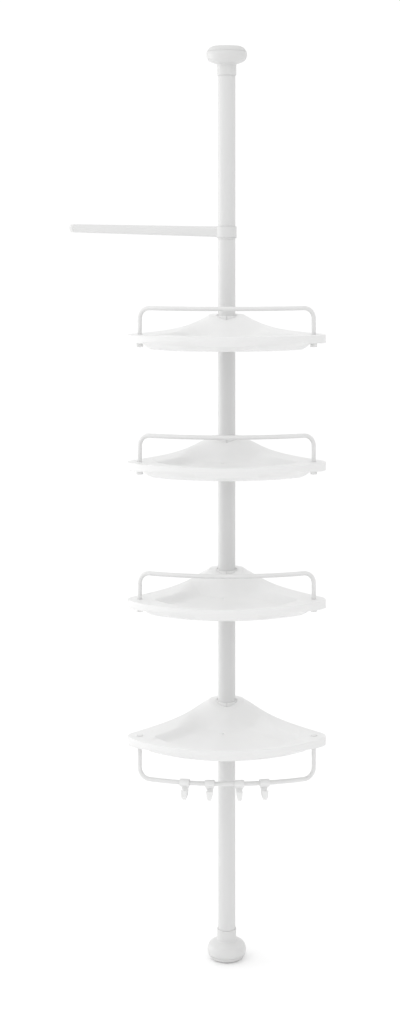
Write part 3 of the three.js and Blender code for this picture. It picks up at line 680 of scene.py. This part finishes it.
def hollow_cutter(start, end, start_rib, end_rib):
    """One pocket under the floor, from one angle in degrees to another. The last two values are how
    far a rib stands into it at either end."""
    plan = []
    last = HOLLOW_STATIONS - 1
    for k in range(HOLLOW_STATIONS):
        angle = math.radians(between(start, end, k / last))
        reach = reach_of(body_low_plan, angle) - TRAY_WALL
        angle += (start_rib * (k == 0) - end_rib * (k == last)) / reach
        plan.append(on_spoke(angle, reach, 0))
    for k in (2, 1, 0):
        angle = math.radians(between(start, end, k / 2))
        angle += (start_rib * (k == 0) - end_rib * (k == 2)) / HOLLOW_START
        plan.append(on_spoke(angle, HOLLOW_START, 0))
    corners = [HOLLOW_CORNER if i in (0, last, last + 1, last + 3) else 0 for i in range(len(plan))]
    plan = [Vector((x, y, 0)) for x, y in rounded([(p.x, p.y) for p in plan], corners)]
    middle = sum(plan, Vector()) / len(plan)
    levels = []
    for height, inset in HOLLOW_LEVELS:
        rise = Vector((0, 0, height))
        levels.append([at + (middle - at).normalized() * inset + rise for at in plan])
    return lofted("pocket", levels)


EAR_X = outer_plan["ear_x"]
EAR_FORWARD = outer_plan["ear_forward"]
WIRE_RADIUS = 3 * MM
HOLE_CLEARANCE = 0.3 * MM
WIRE_HOLE = WIRE_RADIUS + HOLE_CLEARANCE
DRAIN_PLACE = (-6 * MM, -66 * MM)
DRAIN_RADIUS = 2.5 * MM
HOLE_FLARE = 0.7 * MM
HOLE_SIDES = 32
HOLE_BELOW = 5 * MM
HOLE_ABOVE = 3 * MM


def round_hole(x, y, radius, low, high):
    """A cutter for a round hole with an eased edge at its upper end."""
    profile = [(0, low), (radius, low), (radius, high - HOLE_FLARE), (radius + HOLE_FLARE, high),
               (radius + HOLE_FLARE, high + HOLE_ABOVE), (0, high + HOLE_ABOVE)]
    cutter = turned("hole", profile, HOLE_SIDES)
    cutter.data.transform(Matrix.Translation((x, y, 0)))
    return cutter


def make_tray_master():
    tray = tray_skin()
    limits = [-HOLLOW_LIMIT, *RIB_ANGLES, HOLLOW_LIMIT]
    tools = []
    for start, end in zip(limits, limits[1:]):
        start_rib = RIB_THICKNESS / 2 if start in RIB_ANGLES else 0
        end_rib = RIB_THICKNESS / 2 if end in RIB_ANGLES else 0
        tools.append(hollow_cutter(start, end, start_rib, end_rib))
    hole_low = -EAR_THICKNESS - HOLE_BELOW
    for side in (-1, 1):
        tools.append(round_hole(side * EAR_X, -EAR_FORWARD, WIRE_HOLE, hole_low, 0))
    boolean(tray, joined("tray_cutters", tools), "DIFFERENCE")
    drain = round_hole(*DRAIN_PLACE, DRAIN_RADIUS, -FLOOR_DROP - HOLE_BELOW, -FLOOR_DROP)
    return smooth(boolean(tray, drain, "DIFFERENCE"), angle=40)


SHELVES = (1, 2, 3, 4)
LOWEST_SHELF = 4
tray_plastic = moulded_plastic("tray_plastic", TRAY_LIGHT, TRAY_SHADE, (0.34, 0.44), 0.012 * MM)
tray_master = make_tray_master()
EAR_TOPS = {}
for number in SHELVES:
    EAR_TOPS[number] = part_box(f"shelf_{number}_tray")[0].z + TRAY_DEPTH
    tray = bpy.data.objects.new(f"shelf_{number}_tray_moulding", tray_master.data.copy())
    bpy.context.scene.collection.objects.link(tray)
    tray.location.z = EAR_TOPS[number]
    dress(tray, tray_plastic, f"shelf_{number}", f"shelf_{number}_tray")
bpy.data.objects.remove(tray_master)

# Pole bushes
# Each tray grips the pole through two half sleeves of off-white plastic. They taper, so the tray's
# weight wedges them tight, and their flange under the tray has a scalloped edge for the fingers.
BUSH_LIGHT = (0.775, 0.775, 0.772)
BUSH_SHADE = (0.75, 0.75, 0.747)
BUSH_BORE = POLE_RADIUS + BORE_PLAY
BUSH_RISE = 6.5 * MM
BUSH_TOP_WALL = 2 * MM
BUSH_LOW_WALL = 3.2 * MM
BUSH_FLANGE = 5.5 * MM
FLANGE_HEIGHT = 3 * MM
BUSH_GAP = 0.25 * MM
BUSH_EDGE = 0.6 * MM
SCALLOPS = 26
SCALLOP_DEPTH = 0.5 * MM
BUSH_ARC_STEPS = 78


def half_bush(name, direction, low, high):
    """Half of a turned sleeve, cut off flat beside the slot."""
    flange_top = low + FLANGE_HEIGHT
    flange = BUSH_BORE + BUSH_FLANGE
    top = BUSH_BORE + BUSH_TOP_WALL
    section = [(BUSH_BORE, low), (flange, low), (flange, flange_top),
               (BUSH_BORE + BUSH_LOW_WALL, flange_top), (top, high - BUSH_RISE), (top, high),
               (BUSH_BORE, high)]
    radii = [BUSH_EDGE / 2, BUSH_EDGE, BUSH_EDGE, 0, 0, BUSH_EDGE, BUSH_EDGE / 2]
    profile = rounded(section, radii, steps=3)
    flange_edge = flange - 2 * BUSH_EDGE
    points = []
    for radius, height in profile:
        limit = math.pi / 2 - math.asin(BUSH_GAP / radius)
        for k in range(BUSH_ARC_STEPS + 1):
            turn = between(-limit, limit, k / BUSH_ARC_STEPS)
            cut = SCALLOP_DEPTH * (1 + math.cos(turn * SCALLOPS)) / 2 if radius > flange_edge else 0
            reach = radius - cut
            points.append((reach * math.cos(turn) * direction, reach * math.sin(turn), height))
    columns = BUSH_ARC_STEPS + 1
    faces = grid_faces(len(profile), columns, True, False)
    faces.append(tuple(i * columns for i in range(len(profile))))
    faces.append(tuple(i * columns + BUSH_ARC_STEPS for i in reversed(range(len(profile)))))
    return mesh_piece(name, points, faces)


bush_plastic = moulded_plastic("bush_plastic", BUSH_LIGHT, BUSH_SHADE, (0.4, 0.55), 0.015 * MM)
for number in SHELVES:
    for side, direction in (("left", -1), ("right", 1)):
        node = f"shelf_{number}_bush_{side}"
        low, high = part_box(node)
        bush = smooth(half_bush(f"{node}_half", direction, low.z, high.z), angle=40)
        dress(bush, bush_plastic, f"shelf_{number}_clamp", node)

# Wire rails
# Each rail is one 6 mm steel wire with two bends and a slight bow, dipped in white plastic. Its
# legs go through the ears of the tray: three rails stand up, and the lowest hangs under its tray.
WIRE_LIGHT = (0.75, 0.75, 0.747)
WIRE_SHADE = (0.72, 0.72, 0.717)
WIRE_BEND = 15 * MM
RAIL_BOW = 26 * MM
RAIL_RISE = 37 * MM
LOW_RAIL_DROP = 58.5 * MM
BOW_RADIUS = (EAR_X ** 2 + RAIL_BOW ** 2) / (2 * RAIL_BOW)
HALF_BOW = BOW_RADIUS * math.asin(EAR_X / BOW_RADIUS)
WIRE_SIDES = 20
WIRE_TIP = 0.5 * MM
LEG_STEPS = 8
BEND_STEPS = 16
BOW_STEPS = 24


def bow_point(distance, height):
    """A point over the bow's plan, by the distance along it from the middle."""
    turn = distance / BOW_RADIUS
    forward = EAR_FORWARD + RAIL_BOW - BOW_RADIUS * (1 - math.cos(turn))
    return Vector((BOW_RADIUS * math.sin(turn), -forward, height))


def rail_path(leg_end, bow_height):
    """The wire's middle line from the left leg's end to the right leg's end."""
    up = 1 if bow_height > leg_end else -1
    half = []
    leg_top = bow_height - up * WIRE_BEND
    for k in range(LEG_STEPS + 1):
        half.append(bow_point(HALF_BOW, between(leg_end, leg_top, k / LEG_STEPS)))
    for k in range(1, BEND_STEPS + 1):
        turn = math.pi / 2 * k / BEND_STEPS
        inward = WIRE_BEND * (1 - math.cos(turn))
        height = bow_height - up * WIRE_BEND * (1 - math.sin(turn))
        half.append(bow_point(HALF_BOW - inward, height))
    for k in range(1, BOW_STEPS + 1):
        half.append(bow_point(between(HALF_BOW - WIRE_BEND, 0, k / BOW_STEPS), bow_height))
    mirrored = [Vector((-at.x, at.y, at.z)) for at in half]
    return [*mirrored, *reversed(half[:-1])]


def dipped_wire():
    material, tree, shader = new_material("dipped_wire")
    two_tone(tree, shader, WIRE_LIGHT, WIRE_SHADE, noise(tree, scale=40, detail=3))
    uneven_gloss(tree, shader, noise(tree, scale=70, detail=3), low=0.3, high=0.4)
    grain(tree, shader, noise(tree, scale=260, detail=2), depth=0.05 * MM)
    return material


wire_material = dipped_wire()
BOW_HEIGHTS = {}
for number in SHELVES:
    low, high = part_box(f"shelf_{number}_rail")
    hanging = number == LOWEST_SHELF
    leg_end = high.z if hanging else low.z
    BOW_HEIGHTS[number] = EAR_TOPS[number] + (-LOW_RAIL_DROP if hanging else RAIL_RISE)
    path = rail_path(leg_end, BOW_HEIGHTS[number])
    rail = round_wire(f"shelf_{number}_wire", path, WIRE_RADIUS, WIRE_SIDES, WIRE_TIP)
    smooth(rail, angle=50)
    dress(rail, wire_material, f"shelf_{number}", f"shelf_{number}_rail")

# Rail end caps
# A small plastic cap closes each leg: a cup pushed on under the ear where the rail stands up, and a
# flat plug in the ear's top face where it hangs.
CAP_WALL = 1.5 * MM
CAP_CLEARANCE = 0.3 * MM
CAP_FLOOR = 1.2 * MM
CAP_EDGE = 0.7 * MM
CAP_SIDES = 40
COVER_THICKNESS = 1.2 * MM
COVER_DOME = 0.48 * MM
COVER_SEAT = 0.25 * MM
for number in SHELVES:
    for side, direction in (("left", -1), ("right", 1)):
        node = f"shelf_{number}_rail_cap_{side}"
        low, high = (corner.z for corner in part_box(node))
        inner = WIRE_RADIUS + CAP_CLEARANCE
        if number == LOWEST_SHELF:
            disc = WIRE_RADIUS + CAP_WALL
            seat = high - COVER_THICKNESS - COVER_SEAT
            section = [(0, low), (WIRE_RADIUS, low), (WIRE_RADIUS, seat), (disc, seat),
                       (disc, high - COVER_DOME), (0, high)]
            radii = [0, CAP_EDGE, 0, CAP_EDGE / 3, CAP_EDGE, 0]
        else:
            outer = inner + CAP_WALL
            section = [(0, low), (outer, low), (outer, high), (inner, high),
                       (inner, low + CAP_FLOOR), (0, low + CAP_FLOOR)]
            radii = [0, 2 * CAP_EDGE, CAP_EDGE / 2, CAP_EDGE / 2, 0, 0]
        cap = turned(f"{node}_moulding", rounded(section, radii, closed=False), CAP_SIDES)
        cap.data.transform(Matrix.Translation((direction * EAR_X, -EAR_FORWARD, 0)))
        dress(smooth(cap, angle=40), bush_plastic, f"shelf_{number}", node)

# Hooks
# Four small moulded hooks on the lowest rail, in the trays' white plastic. Each is a ring that
# snaps over the wire through a slit at its back, with a shank that narrows to an upturned end.
HOOK_PLACES = [-57.8 * MM, -23.4 * MM, 17.3 * MM, 51.9 * MM]
HOOK_WIDTH = 13 * MM
HOOK_DROP = 23 * MM
HOOK_RING_WALL = 1.9 * MM
HOOK_RING = WIRE_HOLE + HOOK_RING_WALL
HOOK_THICKNESS = 2.8 * MM
HOOK_MOUTH = 7 * MM
HOOK_TIP_RISE = 8 * MM
HOOK_BACK = 5.1 * MM
HOOK_HALF_WIDTHS = [(HOOK_RING + 2 * MM, 6.5 * MM), (-HOOK_RING / 2, 6.5 * MM),
                    (-9.2 * MM, 4.3 * MM), (-16.6 * MM, 3.65 * MM),
                    (-HOOK_DROP - 0.3 * MM, 1.5 * MM)]
HOOK_SLIT = 0.9 * MM
HOOK_EDGE = 0.45 * MM
SLIT_OVERRUN = 1 * MM
ARC_STEPS = 20
TIP_STEPS = 10
FRONT_STEPS = 24
BORE_POINTS = 48


def arc(x, y, radius, start, end, steps=ARC_STEPS):
    """Points on an arc about (x, y), from one angle to another in radians."""
    turns = [between(start, end, k / steps) for k in range(steps + 1)]
    return [(x + radius * math.cos(turn), y + radius * math.sin(turn)) for turn in turns]


def hook_side():
    """The hook's outline from the side as (forward, up) from the wire's centre."""
    inner = HOOK_MOUTH / 2
    outer = inner + HOOK_THICKNESS
    x = outer - HOOK_BACK
    y = outer - HOOK_DROP
    shank_front = HOOK_THICKNESS - HOOK_BACK
    shank_top = -math.sqrt(HOOK_RING ** 2 - shank_front ** 2)
    back_top = -math.sqrt(HOOK_RING ** 2 - HOOK_BACK ** 2)
    tip = HOOK_THICKNESS / 2
    outline = arc(x, y, outer, math.pi, 2 * math.pi)
    outline += arc(x + outer - tip, y + HOOK_TIP_RISE - tip, tip, 0, math.pi, TIP_STEPS)
    outline += arc(x, y, inner, 2 * math.pi, math.pi)
    outline += arc(0, 0, HOOK_RING, math.atan2(shank_top, shank_front),
                   math.atan2(back_top, -HOOK_BACK) + 2 * math.pi, 3 * ARC_STEPS)
    return outline


def side_slab(name, outline):
    """An outline of (forward, up) drawn out past the hook's width to both sides."""
    depths = (-HOOK_WIDTH, HOOK_WIDTH)
    return lofted(name, [[(depth, -a, b) for a, b in outline] for depth in depths])


def front_slab(name, outline):
    """An outline of (aside, up) drawn out past the hook to the front and back."""
    depths = (-HOOK_DROP, HOOK_DROP)
    return lofted(name, [[(a, depth, b) for a, b in outline] for depth in depths])


def eased_edges(piece, width, angle=40):
    """Rounds the piece's edges that are sharper than an angle in degrees."""
    step = piece.modifiers.new("edges", "BEVEL")
    step.width = width
    step.segments = 3
    step.limit_method = "ANGLE"
    step.angle_limit = math.radians(angle)
    return applied(piece, step)


def make_hook_master():
    hook = side_slab("hook_master", hook_side())
    right = eased_curve([(half, height) for height, half in HOOK_HALF_WIDTHS], FRONT_STEPS)
    left = [(-x, z) for x, z in reversed(right)]
    boolean(hook, front_slab("hook_front", [*right, *left]), "INTERSECT")
    boolean(hook, side_slab("hook_bore", ring_points(WIRE_HOLE, BORE_POINTS)), "DIFFERENCE")
    back = -HOOK_RING - SLIT_OVERRUN
    slit = [(back, -HOOK_SLIT / 2), (0, -HOOK_SLIT / 2), (0, HOOK_SLIT / 2), (back, HOOK_SLIT / 2)]
    boolean(hook, side_slab("hook_slit", slit), "DIFFERENCE")
    return smooth(eased_edges(hook, HOOK_EDGE), angle=40)


master = make_hook_master()
for number, place in enumerate(HOOK_PLACES, 1):
    angle = math.asin(place / BOW_RADIUS)
    at = bow_point(angle * BOW_RADIUS, BOW_HEIGHTS[LOWEST_SHELF])
    hook = bpy.data.objects.new(f"hook_{number}_moulding", master.data.copy())
    bpy.context.scene.collection.objects.link(hook)
    hook.matrix_world = Matrix.Translation(at) @ Matrix.Rotation(angle, 4, "Z")
    dress(hook, tray_plastic, f"hook_{number}_body", f"hook_{number}")
bpy.data.objects.remove(master)

# Towel arm
# A ring bent from steel strip turns on the pole, and a flattened oval bar is welded to it. The bar
# tapers and rises a little towards its end. Ring and bar are painted like the pole.
ARM_REACH = 276 * MM
ARM_TURN = math.radians(150)
ARM_RING_HEIGHT = 16 * MM
ARM_RING_WALL = 0.9 * MM
ARM_LINER_WALL = 0.6 * MM
ARM_LINER_GAP = 0.2 * MM
ARM_ROOT = (9.5 * MM, 15.4 * MM)
ARM_TIP = (8 * MM, 12.5 * MM)
ARM_TIP_RISE = 3.5 * MM
ARM_CAP_LENGTH = 7 * MM
ARM_SEAM = 0.3 * MM
ARM_ROUNDNESS = 0.7
ARM_SECTION_POINTS = 48
ARM_STATIONS = 40
STATION_SPREAD = 1.7  # more than 1 sets the stations closer near the weld
BAR_START_SHARE = 0.6
BAR_END_SIZE = 0.93
WELD_REACH = 4 * MM
WELD_SWELL = 0.06
RING_EDGE = 0.4 * MM
RING_OVERLAP = 1 * MM


def arm_section(distance, size):
    """The bar's section at a distance from the pole's axis, drawn in to a share of its size."""
    share = distance / ARM_REACH
    half_thickness = between(ARM_ROOT[0], ARM_TIP[0], share) * size / 2
    half_height = between(ARM_ROOT[1], ARM_TIP[1], share) * size / 2
    points = []
    for across, up in ring_points(1, ARM_SECTION_POINTS):
        y = -math.copysign(abs(across) ** ARM_ROUNDNESS, across) * half_thickness
        z = math.copysign(abs(up) ** ARM_ROUNDNESS, up) * half_height
        points.append((distance, y, ARM_TIP_RISE * share + z))
    return points


def on_arm(piece, height):
    """Turns a piece made along +X to the arm's place."""
    piece.data.transform(Matrix.Translation((0, 0, height)) @ Matrix.Rotation(ARM_TURN, 4, "Z"))
    return piece


arm_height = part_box("towel_arm_liner")[1].z - ARM_RING_HEIGHT / 2
liner_bore = POLE_RADIUS + ARM_LINER_GAP
ring_bore = liner_bore + ARM_LINER_WALL + ARM_LINER_GAP
ring_outer = ring_bore + ARM_RING_WALL
half_ring = ARM_RING_HEIGHT / 2
cap_start = ARM_REACH - ARM_CAP_LENGTH
bar_end = cap_start - ARM_SEAM
sections = []
for k in range(ARM_STATIONS + 1):
    distance = between(ring_bore * BAR_START_SHARE, bar_end, (k / ARM_STATIONS) ** STATION_SPREAD)
    weld = 1 + WELD_SWELL * math.exp(-max(distance - ring_outer, 0) / WELD_REACH)
    sections.append(arm_section(distance, weld))
sections.append(arm_section(bar_end, BAR_END_SIZE))
bar = lofted("towel_bar_and_ring", sections)
ring_start = ring_bore - RING_OVERLAP
ring_profile = rounded([(ring_start, -half_ring), (ring_outer, -half_ring), (ring_outer, half_ring),
                        (ring_start, half_ring)], [0, RING_EDGE, RING_EDGE, 0], steps=3)
boolean(bar, turned("towel_ring", ring_profile), "UNION")
bore_profile = [(0, -ARM_RING_HEIGHT), (ring_bore, -ARM_RING_HEIGHT), (ring_bore, ARM_RING_HEIGHT),
                (0, ARM_RING_HEIGHT)]
boolean(bar, turned("towel_bore", bore_profile), "DIFFERENCE")
dress(smooth(on_arm(bar, arm_height), angle=40), paint, "towel_bar", "towel_arm")

# Towel arm plug
# A moulded plug of the bushes' off-white plastic closes the bar's far end. It is pushed in, and its
# head is a little smaller than the bar and rounded off.
PLUG_SIZE = 0.97
PLUG_ROOT_SIZE = 0.92
PLUG_TIP_SIZE = 0.62
PLUG_ROUND = 3.2 * MM
PLUG_FULLNESS = 0.6
PLUG_STEPS = 8
cap_sections = [arm_section(cap_start, PLUG_ROOT_SIZE),
                arm_section(cap_start + ARM_SEAM, PLUG_SIZE)]
for k in range(PLUG_STEPS + 1):
    turn = math.pi / 2 * k / PLUG_STEPS
    distance = ARM_REACH - PLUG_ROUND * (1 - math.sin(turn))
    size = between(PLUG_TIP_SIZE, PLUG_SIZE, math.cos(turn) ** PLUG_FULLNESS)
    cap_sections.append(arm_section(distance, size))
cap = smooth(on_arm(lofted("towel_bar_plug", cap_sections), arm_height), angle=40)
dress(cap, bush_plastic, "towel_bar", "towel_arm_cap")

# Towel arm liner
# A thin sleeve of the same plastic lies between the arm's ring and the pole, so that steel doesn't
# rub on paint. It grips the pole, and the lip at its lower end keeps the ring from slipping down.
LINER_LIP = 1 * MM
LINER_LIP_GAP = 0.3 * MM
LINER_EDGE = 0.2 * MM
LIP_EDGE = 0.4 * MM
lip_top = -half_ring - LINER_LIP_GAP
lip_low = lip_top - LINER_LIP
liner_outer = liner_bore + ARM_LINER_WALL
liner_profile = [(liner_bore, lip_low), (ring_outer, lip_low), (ring_outer, lip_top),
                 (liner_outer, lip_top), (liner_outer, half_ring), (liner_bore, half_ring)]
liner_radii = [LINER_EDGE, LIP_EDGE, LIP_EDGE, 0, LINER_EDGE, LINER_EDGE]
liner = turned("towel_ring_liner", rounded(liner_profile, liner_radii))
liner.data.transform(Matrix.Translation((0, 0, arm_height)))
dress(smooth(liner, angle=40), bush_plastic, "towel_collar", "towel_arm_liner")

# Floor
# Plain white studio paper under the pad. It runs out so far that no edge of it shows from any side.
PAPER_WHITE = (0.93, 0.93, 0.93)
PAPER_ROUGHNESS = 0.9
PAPER_GLOW = 0.04
FLOOR_HALF = 40


def studio_paper():
    material, _, shader = new_material("studio_paper")
    shader.inputs["Base Color"].default_value = (*PAPER_WHITE, 1)
    shader.inputs["Roughness"].default_value = PAPER_ROUGHNESS
    shader.inputs["Emission Color"].default_value = (1, 1, 1, 1)
    shader.inputs["Emission Strength"].default_value = PAPER_GLOW
    return material


floor_mesh = bpy.data.meshes.new("studio_floor")
floor_mesh.from_pydata([(-FLOOR_HALF, -FLOOR_HALF, 0), (FLOOR_HALF, -FLOOR_HALF, 0),
                        (FLOOR_HALF, FLOOR_HALF, 0), (-FLOOR_HALF, FLOOR_HALF, 0)],
                       [], [(0, 1, 2, 3)])
floor = bpy.data.objects.new("studio_floor", floor_mesh)
bpy.context.scene.collection.objects.link(floor)
floor.data.materials.append(studio_paper())

# Light
# White all round like a photographer's tent: plain white behind, brighter from above and from the
# left than from the right, and bright again at the floor's edge, where the paper curves up. A
# softbox stands at the left, a little behind the unit, and a lamp hangs high at the left front.
LEFT_STRENGTH = 0.62
RIGHT_STRENGTH = 0.42
FRONT_GAIN = 0.06
FRONT_END = 0.2
EDGE_GAIN = 0.42
EDGE_TOP = 0.2
HIGH_GAIN = 0.55
HIGH_START = -0.05
HIGH_FULL = 0.4
BEHIND_STRENGTH = 1.02
BEHIND_START = 0.55
BEHIND_FULL = 0.9
RIM_ENERGY = 14
RIM_SIZE = (1.2, 1.6)
RIM_PLACE = (-2.62, 0.8, 0.75)
KEY_ENERGY = 4
KEY_SIZE = (0.5, 0.5)
KEY_PLACE = (-2.0, -1.3, 2.6)
LAMP_TARGET = (0, 0, 0.7)
scene = bpy.context.scene
world = bpy.data.worlds.new("studio_tent")
scene.world = world
world.use_nodes = True
sky = world.node_tree
background = sky.nodes["Background"]
place = sky.nodes.new("ShaderNodeTexCoord")
direction = sky.nodes.new("ShaderNodeSeparateXYZ")
sky.links.new(place.outputs["Generated"], direction.inputs["Vector"])


def ramp(axis, start, end, low, high, eased_ends=True):
    """A strength that runs from low to high as the direction's axis runs from start to end."""
    node = sky.nodes.new("ShaderNodeMapRange")
    node.interpolation_type = "SMOOTHSTEP" if eased_ends else "LINEAR"
    node.inputs["From Min"].default_value = start
    node.inputs["From Max"].default_value = end
    node.inputs["To Min"].default_value = low
    node.inputs["To Max"].default_value = high
    sky.links.new(direction.outputs[axis], node.inputs["Value"])
    return node.outputs["Result"]


def added(first, second):
    node = sky.nodes.new("ShaderNodeMath")
    sky.links.new(first, node.inputs[0])
    sky.links.new(second, node.inputs[1])
    return node.outputs["Value"]


around = ramp("X", -1, 1, LEFT_STRENGTH, RIGHT_STRENGTH, eased_ends=False)
around = added(around, ramp("Y", -1, FRONT_END, FRONT_GAIN, 0))
around = added(around, ramp("Z", HIGH_START, HIGH_FULL, 0, HIGH_GAIN))
around = added(around, ramp("Z", 0, EDGE_TOP, EDGE_GAIN, 0))
backdrop = sky.nodes.new("ShaderNodeMix")
backdrop.inputs["B"].default_value = BEHIND_STRENGTH
sky.links.new(ramp("Y", BEHIND_START, BEHIND_FULL, 0, 1), backdrop.inputs["Factor"])
sky.links.new(around, backdrop.inputs["A"])
sky.links.new(backdrop.outputs["Result"], background.inputs["Strength"])
background.inputs["Color"].default_value = (1, 1, 1, 1)


def aimed(name, data, at, target):
    """A lamp or camera at a place, looking at a target."""
    piece = bpy.data.objects.new(name, data)
    scene.collection.objects.link(piece)
    piece.location = at
    piece.rotation_euler = (Vector(target) - Vector(at)).to_track_quat("-Z", "Y").to_euler()
    return piece


for name, size, energy, at in (("rim_softbox", RIM_SIZE, RIM_ENERGY, RIM_PLACE),
                               ("front_lamp", KEY_SIZE, KEY_ENERGY, KEY_PLACE)):
    lamp = bpy.data.lights.new(name, "AREA")
    lamp.shape = "RECTANGLE"
    lamp.size, lamp.size_y = size
    lamp.energy = energy
    aimed(name, lamp, at, LAMP_TARGET)

# Camera
# Level with the towel arm and two and a half metres in front, with the view shifted down.
CAMERA_PLACE = (0, -2.508, 1.090)
CAMERA_TARGET = (0, 0, 1.090)
CAMERA_LENS = 61.72
CAMERA_SHIFT = (-0.0265, -0.2968)
SENSOR_LONG_SIDE = 36
camera_data = bpy.data.cameras.new("camera")
camera_data.lens = CAMERA_LENS
camera_data.sensor_width = SENSOR_LONG_SIDE
camera_data.shift_x, camera_data.shift_y = CAMERA_SHIFT
scene.camera = aimed("camera", camera_data, CAMERA_PLACE, CAMERA_TARGET)
scene.view_settings.view_transform = "Standard"
